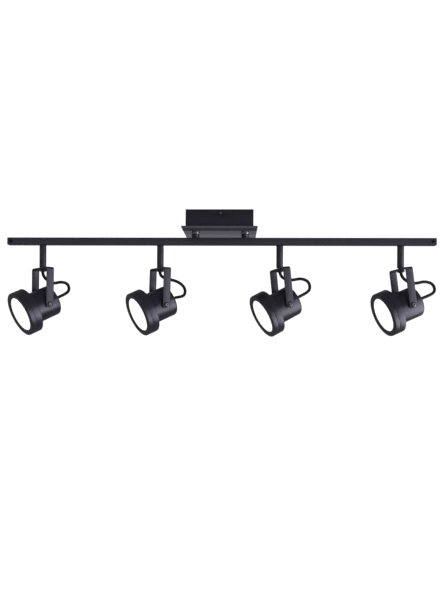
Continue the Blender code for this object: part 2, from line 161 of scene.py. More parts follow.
def metal(name, colour, rough, stretch=(1, 1, 1), scale=900.0):
    mat, tree, shader = new_material(name)
    shader.inputs["Metallic"].default_value = 1.0
    grain = noise(tree, scale, 4.0, 0.6, stretch=stretch)
    low = tuple(c * 0.82 for c in colour)
    tone = ramp(tree, grain.outputs["Fac"], [(0.3, low), (0.7, colour)])
    link(tree, tone.outputs["Color"], shader.inputs["Base Color"])
    r = ramp(tree, grain.outputs["Fac"], [(0.3, rough * 0.8), (0.7, rough * 1.2)])
    link(tree, r.outputs["Color"], shader.inputs["Roughness"])
    bump(tree, shader, grain.outputs["Fac"], 0.08, 0.0001)
    return mat


def rubber(name):
    mat, tree, shader = new_material(name)
    mottle = noise(tree, 90.0, 4.0, 0.6)
    tone = ramp(tree, mottle.outputs["Fac"], [(0.3, (0.0022, 0.0022, 0.0025)), (0.7, (0.0045, 0.0043, 0.0048))])
    link(tree, tone.outputs["Color"], shader.inputs["Base Color"])
    r = ramp(tree, mottle.outputs["Fac"], [(0.3, 0.50), (0.7, 0.62)])
    shader.inputs["Specular IOR Level"].default_value = 0.22
    link(tree, r.outputs["Color"], shader.inputs["Roughness"])
    fine = noise(tree, 2200.0, 2.0)
    bump(tree, shader, fine.outputs["Fac"], 0.12, 0.0001)
    return mat


def plastic(name, colour, rough, scale=500.0):
    mat, tree, shader = new_material(name)
    grain = noise(tree, scale, 3.0, 0.5)
    low = tuple(c * 0.92 for c in colour)
    tone = ramp(tree, grain.outputs["Fac"], [(0.3, low), (0.7, colour)])
    link(tree, tone.outputs["Color"], shader.inputs["Base Color"])
    shader.inputs["Roughness"].default_value = rough
    bump(tree, shader, grain.outputs["Fac"], 0.15, 0.0002)
    return mat


def frosted_lens(name):
    """Opal diffuser lit from behind: an even glow with a fine frosted grain."""
    mat, tree, shader = new_material(name)
    frost = noise(tree, 1400.0, 3.0, 0.6)
    soft = noise(tree, 18.0, 2.0, 0.5)
    tone = ramp(tree, frost.outputs["Fac"], [(0.3, (0.86, 0.86, 0.84)), (0.7, (0.93, 0.93, 0.91))])
    link(tree, tone.outputs["Color"], shader.inputs["Base Color"])
    glow = ramp(tree, soft.outputs["Fac"], [(0.3, (0.97, 0.975, 0.955)), (0.7, (1.0, 1.0, 0.985))])
    link(tree, glow.outputs["Color"], shader.inputs["Emission Color"])
    shader.inputs["Emission Strength"].default_value = 0.42
    shader.inputs["Roughness"].default_value = 0.55
    bump(tree, shader, frost.outputs["Fac"], 0.1, 0.0001)
    return mat


BLACK = powder_coat("satin_black", (0.0060, 0.0056, 0.0088), (0.0090, 0.0084, 0.0128), 0.33, 0.43)
# painted shade: a darker copy of the satin black powder coat, used for the canopy box
CANOPY_BLACK_PAINTED_SHADE = powder_coat("canopy_satin_black_painted_shade", (0.0036, 0.0033, 0.0056), (0.0056, 0.0051, 0.0084), 0.38, 0.46, specular=0.34)
HEAD_BLACK = powder_coat("head_satin_black", (0.0055, 0.0051, 0.0080), (0.0090, 0.0083, 0.0130), 0.30, 0.38, specular=0.55)
# painted reflection: the black powder coat with its base colour raised to stand in for the plate underside's
# reflection; the low roughness is its gloss
PLATE_BLACK_PAINTED_REFLECTION = powder_coat("plate_gloss_black_painted_reflection", (0.0150, 0.0140, 0.0185), (0.0200, 0.0190, 0.0245), 0.03, 0.06, 900.0, 0.008, specular=0.95)
NUT_BLACK = powder_coat("nut_black_oxide", (0.0045, 0.0042, 0.0060), (0.0075, 0.0070, 0.0100), 0.40, 0.50, specular=0.35)
# painted light: a lighter copy of the satin black powder coat, used for the yoke legs
YOKE_BLACK_PAINTED_LIGHT = powder_coat("yoke_satin_black_painted_light", (0.0090, 0.0083, 0.0125), (0.0150, 0.0140, 0.0205), 0.36, 0.46)
DARK = metal("blackened_steel", (0.075, 0.075, 0.085), 0.34)
PIVOT = metal("satin_dark_steel", (0.120, 0.118, 0.135), 0.42)
OXIDE = powder_coat("fastener_black_oxide", (0.0012, 0.0012, 0.0016), (0.0026, 0.0025, 0.0032), 0.50, 0.60, specular=0.18)
BRIGHT = metal("bright_zinc", (0.72, 0.72, 0.73), 0.24)
ZINC = metal("zinc_strap", (0.55, 0.55, 0.54), 0.34, (1, 6, 1), 400.0)
RUBBER = rubber("black_rubber")
LENS = frosted_lens("opal_diffuser")
BOARD = plastic("white_board", (0.82, 0.82, 0.78), 0.45)
NYLON = plastic("natural_nylon", (0.76, 0.75, 0.70), 0.5)
DRIVER = plastic("driver_case", (0.70, 0.70, 0.72), 0.5)


# ---------------------------------------------------------------- mesh tools
def fillet(points, radii, steps=4, closed=True):
    """A polygon's corners rounded with arcs. Points are 2-D; a radius of 0 keeps the corner."""
    out, n = [], len(points)
    for i, (p, r) in enumerate(zip(points, radii)):
        p = Vector(p)
        if not r or (not closed and i in (0, n - 1)):
            out.append(tuple(p))
            continue
        a, b = Vector(points[i - 1]) - p, Vector(points[(i + 1) % n]) - p
        la, lb = a.length, b.length
        if la < 1e-9 or lb < 1e-9:
            out.append(tuple(p))
            continue
        a, b = a / la, b / lb
        angle = math.acos(max(-1, min(1, a.dot(b))))
        if angle > math.pi - 0.02:
            out.append(tuple(p))
            continue
        cut = min(r / math.tan(angle / 2), la * 0.48, lb * 0.48)
        radius = cut * math.tan(angle / 2)
        mid = (a + b).normalized()
        centre = p + mid * (radius / math.sin(angle / 2))
        s, e = p + a * cut - centre, p + b * cut - centre
        sweep = math.atan2(s.x * e.y - s.y * e.x, s.dot(e))
        for k in range(steps + 1):
            t = sweep * k / steps
            out.append((centre.x + s.x * math.cos(t) - s.y * math.sin(t), centre.y + s.x * math.sin(t) + s.y * math.cos(t)))
    return out


TURNS = {
    "Z": Matrix.Identity(4),
    "X": Matrix.Rotation(math.radians(90), 4, "Y"),
    "Y": Matrix.Rotation(math.radians(-90), 4, "X"),
}


def turned(profile, sides=72, axis="Z", closed=False, phase=0.0):
    bm = bmesh.new()
    rings = []
    for along, radius in profile:
        if radius < 1e-6:
            rings.append([bm.verts.new((0, 0, along))])
        else:
            turns = [phase + 2 * math.pi * i / sides for i in range(sides)]
            rings.append([bm.verts.new((radius * math.cos(t), radius * math.sin(t), along)) for t in turns])
    pairs = list(zip(rings, rings[1:]))
    if closed:
        pairs.append((rings[-1], rings[0]))
    for low, high in pairs:
        for i in range(sides):
            j = (i + 1) % sides
            if len(low) == 1 and len(high) > 1:
                bm.faces.new((low[0], high[i], high[j]))
            elif len(high) == 1 and len(low) > 1:
                bm.faces.new((low[i], low[j], high[0]))
            elif len(low) > 1:
                bm.faces.new((low[i], low[j], high[j], high[i]))
    bmesh.ops.transform(bm, matrix=TURNS[axis], verts=bm.verts)
    return bm


def box_bm(x0, x1, y0, y1, z0, z1, bevel=0.0, along=None, segments=3):
    bm = bmesh.new()
    bmesh.ops.create_cube(bm, size=1.0)
    bmesh.ops.scale(bm, vec=(x1 - x0, y1 - y0, z1 - z0), verts=bm.verts)
    bmesh.ops.translate(bm, vec=((x0 + x1) / 2, (y0 + y1) / 2, (z0 + z1) / 2), verts=bm.verts)
    if bevel:
        edges = list(bm.edges)
        if along is not None:
            edges = [e for e in edges if abs((e.verts[0].co - e.verts[1].co)[along]) > 1e-6]
        bmesh.ops.bevel(bm, geom=edges, offset=bevel, segments=segments, profile=0.5, affect="EDGES")
    return bm


def shift(bm, vec):
    bmesh.ops.translate(bm, vec=vec, verts=bm.verts)
    return bm


def raw(name, bm, matrix=Matrix.Identity(4)):
    """An object in metres in the row frame, from a bmesh in mm in a local frame."""
    bmesh.ops.recalc_face_normals(bm, faces=bm.faces)
    bmesh.ops.transform(bm, matrix=matrix @ Matrix.Scale(MM, 4), verts=bm.verts)
    mesh = bpy.data.meshes.new(name)
    bm.to_mesh(mesh)
    bm.free()
    obj = bpy.data.objects.new(name, mesh)
    SCENE.collection.objects.link(obj)
    return obj


def open_edges(mesh):
    bm = bmesh.new()
    bm.from_mesh(mesh)
    count = sum(not e.is_manifold for e in bm.edges)
    bm.free()
    return count


def carve(obj, bms, matrix, operation="DIFFERENCE", bevel=0.0, angle=40.0):
    """Cuts shapes out of an object, rounds the edges that are left, and keeps the result as its mesh.

    Faces that nearly coincide can leave a hole, so the cutters are nudged by a micrometre until the result is closed.
    """
    cutters = []
    for k, bm in enumerate(bms):
        cutter = raw(f"{obj.name}_cut{k}", bm, matrix)
        cutters.append(cutter)
        m = obj.modifiers.new(f"cut{k}", "BOOLEAN")
        m.object, m.operation, m.solver = cutter, operation, "EXACT"
    if bevel:
        m = obj.modifiers.new("round", "BEVEL")
        m.width, m.segments, m.limit_method, m.angle_limit = bevel * MM, 2, "ANGLE", math.radians(angle)
        m.harden_normals = False
    best = None
    for attempt in range(8):
        for k, c in enumerate(cutters):
            c.location = Vector((1.1, -0.7, 0.9)) * 1e-6 * attempt * (1 + 0.31 * k)
        bpy.context.view_layer.update()
        made = bpy.data.meshes.new_from_object(obj.evaluated_get(bpy.context.evaluated_depsgraph_get()))
        wrong = open_edges(made)
        if best is None or wrong < best[0]:
            best = (wrong, made)
        if wrong == 0:
            break
    if best[0]:
        print("open edges left on", obj.name, best[0])
    obj.modifiers.clear()
    obj.data = best[1]
    for c in cutters:
        bpy.data.objects.remove(c)
    return obj


PATTERNS = {}


def placed(name, build, matrix):
    """A copy of a part that every head shares, modelled once about its own axes."""
    if build.__name__ not in PATTERNS:
        first = build()
        PATTERNS[build.__name__] = first.data
        bpy.data.objects.remove(first)
    mesh = PATTERNS[build.__name__].copy()
    mesh.name = name
    mesh.transform(matrix)
    obj = bpy.data.objects.new(name, mesh)
    SCENE.collection.objects.link(obj)
    return obj


def piece(obj, mat, body, slot, *nodes, angle=34.0):
    """Finishes a visible piece: shading, material, the body it rides on and what it stands for."""
    obj.data.materials.clear()
    obj.data.materials.append(mat)
    obj.data.shade_smooth()
    obj.data.set_sharp_from_angle(angle=math.radians(angle))
    if body:
        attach(obj, body)
    if nodes:
        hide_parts(*nodes)
    return obj


# ---------------------------------------------------------------- camera
def make_camera():
    f_px, yaw, roll, distance = 650.0, 0.02643, 0.00528, 1.27452
    horizon, shift_px, cz = 332.6, -1.73, -0.2299
    cam = bpy.data.objects.new("camera", bpy.data.cameras.new("camera"))
    SCENE.collection.objects.link(cam)
    cam.data.sensor_width = 36.0
    cam.data.lens = f_px / 590.0 * 36.0
    cam.data.shift_x = -shift_px / 590.0
    cam.data.shift_y = (horizon - 295.0) / 590.0
    cam.location = (distance * math.sin(yaw), -distance * math.cos(yaw), cz)
    turn = Matrix.Rotation(yaw, 4, "Z") @ Matrix.Rotation(math.radians(90), 4, "X") @ Matrix.Rotation(roll, 4, "Z")
    cam.rotation_euler = turn.to_euler()
    cam.data.clip_start = 0.05
    SCENE.camera = cam


make_camera()


# ---------------------------------------------------------------- canopy
def phillips(bm_list, depth_at, radius, out, at, axis="Y"):
    """Two crossed slots for a screw's recess."""
    w, l = radius * 0.22, radius * 0.62
    for a, b in ((w, l), (l, w)):
        bm = box_bm(-a, a, depth_at, depth_at + out, -b, b)
        if axis == "X":
            bmesh.ops.transform(bm, matrix=Matrix.Rotation(math.radians(-90), 4, "Z"), verts=bm.verts)
        bm_list.append(shift(bm, at))
    return bm_list


def make_canopy():
    half, eye = CANOPY_SIDE / 2, Matrix.Identity(4)
    inner = half - CANOPY_WALL
    box = raw("canopy_cover", box_bm(-half, half, -half, half, -CANOPY_HEIGHT, 0, 1.6, along=2, segments=4))
    cuts = [box_bm(-inner, inner, -inner, inner, -CANOPY_HEIGHT + CANOPY_WALL, 5, 0.8, along=2)]
    for y0, y1 in ((-half - 3, -half + 5), (half - 5, half + 3)):
        cuts.append(shift(turned([(y0, 0), (y0, 2.2), (y1, 2.2), (y1, 0)], 32, "Y"), (0, 0, SIDE_SCREW_Z)))
    for x in (-POST_X, POST_X):
        cuts.append(shift(turned([(-CANOPY_HEIGHT - 3, 0), (-CANOPY_HEIGHT - 3, POST_STUD_R + GAP), (-CANOPY_HEIGHT + 5, POST_STUD_R + GAP), (-CANOPY_HEIGHT + 5, 0)], 32), (x, 0, 0)))
    carve(box, cuts, eye, bevel=0.3)
    piece(box, CANOPY_BLACK_PAINTED_SHADE, "fixture", "black_powder_coat", "canopy_box")

    side = PLATE_SIDE / 2
    plate = raw("canopy_base_plate", box_bm(-side, side, -side, side, PLATE_BOTTOM, PLATE_TOP, 0.35))
    cuts = [shift(turned([(PLATE_BOTTOM - 3, 0), (PLATE_BOTTOM - 3, POST_STUD_R + GAP), (PLATE_TOP + 3, POST_STUD_R + GAP), (PLATE_TOP + 3, 0)], 32), (x, 0, 0)) for x in (-POST_X, POST_X)]
    carve(plate, cuts, eye)
    piece(plate, PLATE_BLACK_PAINTED_REFLECTION, "fixture", "black_powder_coat", "canopy_plate")

    for name, s in (("front", -1), ("back", 1)):
        h = half + GAP
        prof = fillet([(55.5, 0), (55.5, 1.9), (h, 1.9), (h, 3.8), (h + 1.2, 3.7), (h + 2.2, 2.2), (h + 2.2, 0)], [0, 0.3, 0, 0.15, 0.6, 0.8, 0], closed=False)
        screw = raw(f"canopy_screw_{name}", shift(turned([(s * a, r) for a, r in prof], 40, "Y"), (0, 0, SIDE_SCREW_Z)))
        cuts = []
        for a, b in ((0.45, 2.0), (2.0, 0.45)):
            y0, y1 = s * (h + 1.2), s * (h + 5)
            cuts.append(shift(box_bm(-a, a, min(y0, y1), max(y0, y1), -b, b), (0, 0, SIDE_SCREW_Z)))
        carve(screw, cuts, eye)
        piece(screw, DARK, "fixture", "dark_fastener", f"side_screw_{name}")

    washer_top = PLATE_BOTTOM - GAP
    washer_bottom = washer_top - WASHER_THICK
    top, bottom, floor = washer_bottom - GAP, BAR_TOP + GAP, -CANOPY_HEIGHT + CANOPY_WALL
    for name, x in (("left", -POST_X), ("right", POST_X)):
        ring = fillet([(washer_bottom, POST_STUD_R + GAP), (washer_bottom, WASHER_R), (washer_top, WASHER_R), (washer_top, POST_STUD_R + GAP)], [0.15, 0.35, 0.35, 0.15])
        w = raw(f"standoff_washer_{name}", shift(turned(ring, 72, closed=True), (x, 0, 0)))
        piece(w, BRIGHT, "fixture", "zinc_steel", f"post_washer_{name}")
        prof = fillet(
            [
                (BAR_TOP - 6, 1.6), (BAR_TOP - 6, POST_STUD_R), (bottom, POST_STUD_R), (bottom, POST_R), (bottom + 2.2, POST_R), (bottom + 2.5, POST_R - 0.5),
                (bottom + 3.1, POST_R - 0.5), (bottom + 3.4, POST_R), (top, POST_R), (top, POST_STUD_R), (floor + 5, POST_STUD_R), (floor + 5, 1.6),
            ],
            [0.1, 0.4, 0, 0.6, 0.15, 0.1, 0.1, 0.15, 0.6, 0, 0.4, 0.1],
        )
        p = raw(f"standoff_{name}", shift(turned(prof, 72, closed=True), (x, 0, 0)))
        piece(p, DARK, "fixture", "dark_fastener", f"post_{name}")

    for node, mat in (("ceiling_bracket", ZINC), ("led_driver", DRIVER), ("terminal_block", NYLON)):
        NODES[node].data.materials.clear()
        NODES[node].data.materials.append(mat)


# ---------------------------------------------------------------- bar
def section_bm(x0, x1, corner=1.25, steps=4, ease0=0.0, ease1=0.0):
    """The bar's rounded rectangular section, run along X, its end edges eased."""
    y, z0, z1 = BAR_DEPTH / 2, BAR_BOTTOM, BAR_TOP
    stations = []
    for x, inset in ((x0, ease0), (x0 + ease0, 0.0), (x1 - ease1, 0.0), (x1, ease1)):
        if stations and abs(stations[-1][0] - x) < 1e-6:
            continue
        stations.append((x, inset))
    bm, rings = bmesh.new(), []
    for x, inset in stations:
        c = max(corner - inset * 0.5, 0.3)
        pts = fillet([(-y + inset, z0 + inset), (y - inset, z0 + inset), (y - inset, z1 - inset), (-y + inset, z1 - inset)], [c] * 4, steps)
        rings.append([bm.verts.new((x, a, b)) for a, b in pts])
    for low, high in zip(rings, rings[1:]):
        n = len(low)
        for i in range(n):
            j = (i + 1) % n
            bm.faces.new((low[i], low[j], high[j], high[i]))
    bm.faces.new(rings[0])
    bm.faces.new(rings[-1])
    return bm


def make_bar():
    eye, end, y, w = Matrix.Identity(4), BAR_LENGTH / 2, BAR_DEPTH / 2, BAR_WALL
    inner_end = end - END_CAP - GAP
    bar = raw("bar_tube", section_bm(-inner_end, inner_end, ease0=0.15, ease1=0.15))
    cuts = [box_bm(-end, end, -y + w, y - w, BAR_BOTTOM + w, BAR_TOP - w)]
    for x in (-POST_X, POST_X):
        cuts.append(shift(turned([(BAR_TOP - 4, 0), (BAR_TOP - 4, POST_STUD_R + GAP), (BAR_TOP + 4, POST_STUD_R + GAP), (BAR_TOP + 4, 0)], 32), (x, 0, 0)))
    for n in range(1, 5):
        x = JOINTS[f"pan_{n}"]["pos_m"][0] / MM
        cuts.append(shift(turned([(BAR_BOTTOM - 4, 0), (BAR_BOTTOM - 4, STUD_R + GAP), (BAR_BOTTOM + 4, STUD_R + GAP), (BAR_BOTTOM + 4, 0)], 32), (x, 0, 0)))
    carve(bar, cuts, eye)
    piece(bar, BLACK, "fixture", "black_powder_coat", "track_bar")
    mid, g = (BAR_TOP + BAR_BOTTOM) / 2, w + GAP
    for name, s in (("left", -1), ("right", 1)):
        a, b = s * (end - END_CAP), s * end
        cap = raw(f"bar_end_{name}", section_bm(min(a, b), max(a, b), ease0=0.7 if s < 0 else 0.15, ease1=0.15 if s < 0 else 0.7))
        t0, t1 = s * (end - END_CAP - 14), s * (end - END_CAP + 2)
        carve(cap, [box_bm(min(t0, t1), max(t0, t1), -y + g, y - g, BAR_BOTTOM + g, BAR_TOP - g)], eye, "UNION")
        x = s * (end - END_SCREW_IN)
        bore = turned([(-y - 3, 0), (-y - 3, 3.0), (-y + 1.5, 3.0), (-y + 1.5, 1.6), (-y + 9, 1.6), (-y + 9, 0)], 40, "Y")
        carve(cap, [shift(bore, (x, 0, mid))], eye)
        piece(cap, BLACK, "fixture", "black_powder_coat", f"end_cap_{name}")
        prof = fillet([(-y + 0.4, 0), (-y + 0.4, 2.6), (-y + 1.2, 2.6), (-y + 1.2, 1.25), (-y + 8, 1.25), (-y + 8, 0)], [0, 0.3, 0.2, 0, 0.3, 0], closed=False)
        screw = raw(f"bar_screw_{name}", shift(turned(prof, 36, "Y"), (x, 0, mid)))
        socket = shift(turned([(-y - 1, 0), (-y - 1, 1.2), (-y + 1.1, 1.2), (-y + 1.1, 0)], 6, "Y"), (x, 0, mid))
        carve(screw, [socket], eye)
        piece(screw, OXIDE, "fixture", "dark_fastener", f"end_screw_{name}")


# ---------------------------------------------------------------- one head
def yoke_bm():
    """The bent strip, with softly rounded long edges and round feet."""
    bm = bmesh.new()
    half_t, half_w = YOKE_THICK / 2, YOKE_WIDTH / 2
    side, steps = [], 14
    for i in range(steps + 1):
        t = math.pi / 2 * i / steps
        side.append((YOKE_HALF, -YOKE_DROP - half_w * math.cos(t), 1.0, 0.0, half_w * math.sin(t)))
    turn_z = -half_t - YOKE_CORNER
    for i in range(13):
        t = math.pi / 2 * i / 12
        side.append((YOKE_HALF - YOKE_CORNER + YOKE_CORNER * math.cos(t), turn_z + YOKE_CORNER * math.sin(t), math.cos(t), math.sin(t), half_w))
    path = side + [(-x, z, -nx, nz, w) for x, z, nx, nz, w in reversed(side)]
    rings = []
    for x, z, nx, nz, w in path:
        w = max(w, 0.02)
        r = min(0.45, w * 0.9, half_t * 0.9)
        pts = fillet([(-half_t, -w), (half_t, -w), (half_t, w), (-half_t, w)], [r] * 4, 3)
        rings.append([bm.verts.new((x + nx * a, b, z + nz * a)) for a, b in pts])
    for low, high in zip(rings, rings[1:]):
        n = len(low)
        for i in range(n):
            j = (i + 1) % n
            bm.faces.new((low[i], low[j], high[j], high[i]))
    bm.faces.new(rings[0])
    bm.faces.new(rings[-1])
    return bm


def make_nut():
    """Hexagon nut with the chamfer that a turned blank leaves on its corners."""
    z1 = -YOKE_THICK - GAP
    z0, flat, sides = z1 - NUT_HEIGHT, NUT_ACROSS / 2, 96
    bm, rings = bmesh.new(), []
    steps = [0.0, 0.15, 0.3, 0.45, 0.6]
    levels = [(z0 + h, flat * 0.98 + 1.6 * h) for h in steps] + [(z1 - h, flat * 1.03 + 1.6 * h) for h in reversed(steps)]
    for z, most in levels:
        ring = []
        for i in range(sides):
            t = 2 * math.pi * i / sides
            q = min(flat / math.cos((t % (math.pi / 3)) - math.pi / 6), most)
            ring.append(bm.verts.new((q * math.cos(t), q * math.sin(t), z)))
        rings.append(ring)
    for z, q in ((z1, STUD_R + GAP + 0.3), (z1 - 0.3, STUD_R + GAP), (z0 + 0.3, STUD_R + GAP), (z0, STUD_R + GAP + 0.3)):
        rings.append([bm.verts.new((q * math.cos(2 * math.pi * i / sides), q * math.sin(2 * math.pi * i / sides), z)) for i in range(sides)])
    for low, high in zip(rings, rings[1:] + rings[:1]):
        for i in range(sides):
            j = (i + 1) % sides
            bm.faces.new((low[i], low[j], high[j], high[i]))
    return raw("nut_pattern", bm)


def make_yoke():
    yoke = raw("yoke_pattern", yoke_bm())
    holes = [turned([(-8, 0), (-8, STUD_R + GAP + 0.1), (5, STUD_R + GAP + 0.1), (5, 0)], 40, phase=0.031)]
    for s in (-1, 1):
        h = turned([(s * 25, 0), (s * 25, SCREW_R + GAP), (s * 45, SCREW_R + GAP), (s * 45, 0)], 28, "X", phase=0.047)
        holes.append(shift(h, (0, 0, -YOKE_DROP)))
    return carve(yoke, holes, Matrix.Identity(4))


def make_housing():
    r, w = HOUSING_R, HOUSING_WALL
    prof = fillet(
        [
            (HOUSING_FRONT, r - w), (HOUSING_FRONT, r), (HOUSING_REAR, r), (HOUSING_REAR, 5.0), (HOUSING_REAR - 3, 5.0),
            (HOUSING_REAR - 3, r - w - 3), (HOUSING_REAR - 6, r - w),
        ],
        [0.2, 0.3, 4.6, 0.4, 0.2, 0, 0], 8,
    )
    housing = raw("housing_pattern", turned(prof, 112, "Y", closed=True, phase=0.0113))
    boss_end = YOKE_HALF - YOKE_THICK / 2 - 0.35
    bosses = []
    for s in (-1, 1):
        bp = fillet([(28.9, 0), (28.9, 6.4), (boss_end, 6.4), (boss_end, 0)], [0, 0, 0.5, 0], closed=False)
        bosses.append(turned([(s * d, q) for d, q in bp], 48, "X", phase=0.021))
    carve(housing, bosses, Matrix.Identity(4), "UNION")
    bores = []
    for s in (-1, 1):
        bores.append(turned([(s * 24, 0), (s * 24, SCREW_R + GAP), (s * 45, SCREW_R + GAP), (s * 45, 0)], 28, "X", phase=0.037))
    return carve(housing, bores, Matrix.Identity(4))


def make_bezel():
    groove = BEZEL_FRONT + 10.0
    pts = [
        (BEZEL_REAR, HOUSING_R + 0.4), (BEZEL_REAR, BEZEL_R), (groove + 0.35, BEZEL_R), (groove + 0.35, BEZEL_R - 0.6), (groove - 0.35, BEZEL_R - 0.6),
        (groove - 0.35, BEZEL_R), (BEZEL_FRONT, BEZEL_R), (BEZEL_FRONT, OPENING_R + 2.2), (BEZEL_FRONT + 1.4, OPENING_R),
        (BEZEL_FRONT + 2.3, OPENING_R), (BEZEL_FRONT + 2.3, LENS_R + GAP), (BEZEL_REAR - 2, LENS_R + GAP), (BEZEL_REAR - 2, HOUSING_R + 0.4),
    ]
    radii = [0.3, 1.4, 0.2, 0.15, 0.15, 0.2, 1.6, 0.5, 0.3, 0.2, 0.2, 0.4, 0.2]
    return raw("bezel_pattern", turned(fillet(pts, radii, 6), 128, "Y", closed=True))


def make_lens():
    front = BEZEL_FRONT + 2.3 + GAP
    prof = [(front + 0.35, 0)] + [(front + 0.35 - 0.35 * (k / 10) ** 2, LENS_R * 0.93 * k / 10) for k in range(1, 11)]
    prof += fillet([(front, LENS_R * 0.93), (front, LENS_R), (front + 2.6, LENS_R), (front + 2.6, 0)], [0, 0.3, 0.3, 0], closed=False)[1:]
    return raw("lens_pattern", turned(prof, 112, "Y"))


def pivot_screw(s):
    head_in = YOKE_HALF + YOKE_THICK / 2 + GAP
    prof = fillet(
        [(27.6, 0), (27.6, SCREW_R), (head_in, SCREW_R), (head_in, SCREW_HEAD_R), (head_in + 1.3, SCREW_HEAD_R), (head_in + 2.4, 3.0), (head_in + 2.4, 0)],
        [0, 0.3, 0, 0.25, 0.7, 1.2, 0], 5, closed=False,
    )
    screw = raw("screw_pattern", turned([(s * d, q) for d, q in prof], 48, "X"))
    socket = turned([(s * (head_in + 0.8), 0), (s * (head_in + 0.8), 1.7), (s * (head_in + 5), 1.7), (s * (head_in + 5), 0)], 6, "X", phase=0.11)
    return carve(screw, [socket], Matrix.Identity(4))


def make_screw_left():
    return pivot_screw(-1)


def make_screw_right():
    return pivot_screw(1)


def make_gland():
    ribs = [(HOUSING_REAR - 4.5, LEAD_R + GAP), (HOUSING_REAR - 4.5, 4.6), (HOUSING_REAR + GAP, 4.6), (HOUSING_REAR + GAP, 7.0), (HOUSING_REAR + 2.2, 7.0)]
    radii = [0.1, 0.2, 0, 0.3, 0.8]
    for k in range(4):
        y0, q = HOUSING_REAR + 3.0 + 1.5 * k, 5.9 - 0.33 * k
        ribs += [(y0, q), (y0 + 0.8, q - 0.1), (y0 + 0.95, q - 0.7), (y0 + 1.35, q - 0.75)]
        radii += [0.2, 0.2, 0.1, 0.1]
    ribs += [(HOUSING_REAR + 9.0, 4.4), (HOUSING_REAR + 9.0, LEAD_R + GAP)]
    radii += [0.3, 0.1]
    return raw("gland_pattern", turned(fillet(ribs, radii, 3), 48, "Y", closed=True))


def spline(knots, per=16):
    fine = []
    padded = [knots[0] * 2 - knots[1]] + knots + [knots[-1] * 2 - knots[-2]]
    for p0, p1, p2, p3 in zip(padded, padded[1:], padded[2:], padded[3:]):
        t0 = 0.0
        t1 = t0 + max((p1 - p0).length, 1e-6) ** 0.5
        t2 = t1 + max((p2 - p1).length, 1e-6) ** 0.5
        t3 = t2 + max((p3 - p2).length, 1e-6) ** 0.5
        for i in range(per):
            t = t1 + (t2 - t1) * i / per
            a1 = p0.lerp(p1, (t - t0) / (t1 - t0))
            a2 = p1.lerp(p2, (t - t1) / (t2 - t1))
            a3 = p2.lerp(p3, (t - t2) / (t3 - t2))
            b1 = a1.lerp(a2, (t - t0) / (t2 - t0))
            b2 = a2.lerp(a3, (t - t1) / (t3 - t1))
            fine.append(b1.lerp(b2, (t - t1) / (t2 - t1)))
    fine.append(knots[-1])
    return fine


def even(points, step):
    total = sum((q - p).length for p, q in zip(points, points[1:]))
    count = max(4, round(total / step))
    out, travelled, k = [points[0]], 0.0, 0
    for i in range(1, count):
        want = total * i / count
        while travelled + (points[k + 1] - points[k]).length < want:
            travelled += (points[k + 1] - points[k]).length
            k += 1
        out.append(points[k].lerp(points[k + 1], (want - travelled) / (points[k + 1] - points[k]).length))
    out.append(points[-1])
    return out, total


def smooth_line(points, rounds):
    """Eases the spline's change of curvature; the ends and the straight lead-ins keep their place."""
    pts = [p.copy() for p in points]
    for _ in range(rounds):
        pts = pts[:4] + [pts[i] * 0.5 + (pts[i - 1] + pts[i + 1]) * 0.25 for i in range(4, len(pts) - 4)] + pts[-4:]
    return pts


def tube_bm(points, radius, sides=24):
    """A round tube along a flat curve in the local YZ plane."""
    bm, rings = bmesh.new(), []
    for i, p in enumerate(points):
        d = (points[min(i + 1, len(points) - 1)] - points[max(i - 1, 0)]).normalized()
        u = Vector((1, 0, 0))
        v = d.cross(u).normalized()
        rings.append([bm.verts.new(p + (u * math.cos(2 * math.pi * k / sides) + v * math.sin(2 * math.pi * k / sides)) * radius) for k in range(sides)])
    for low, high in zip(rings, rings[1:]):
        for i in range(sides):
            j = (i + 1) % sides
            bm.faces.new((low[i], low[j], high[j], high[i]))
    bm.faces.new(rings[0])
    bm.faces.new(rings[-1])
    return bm


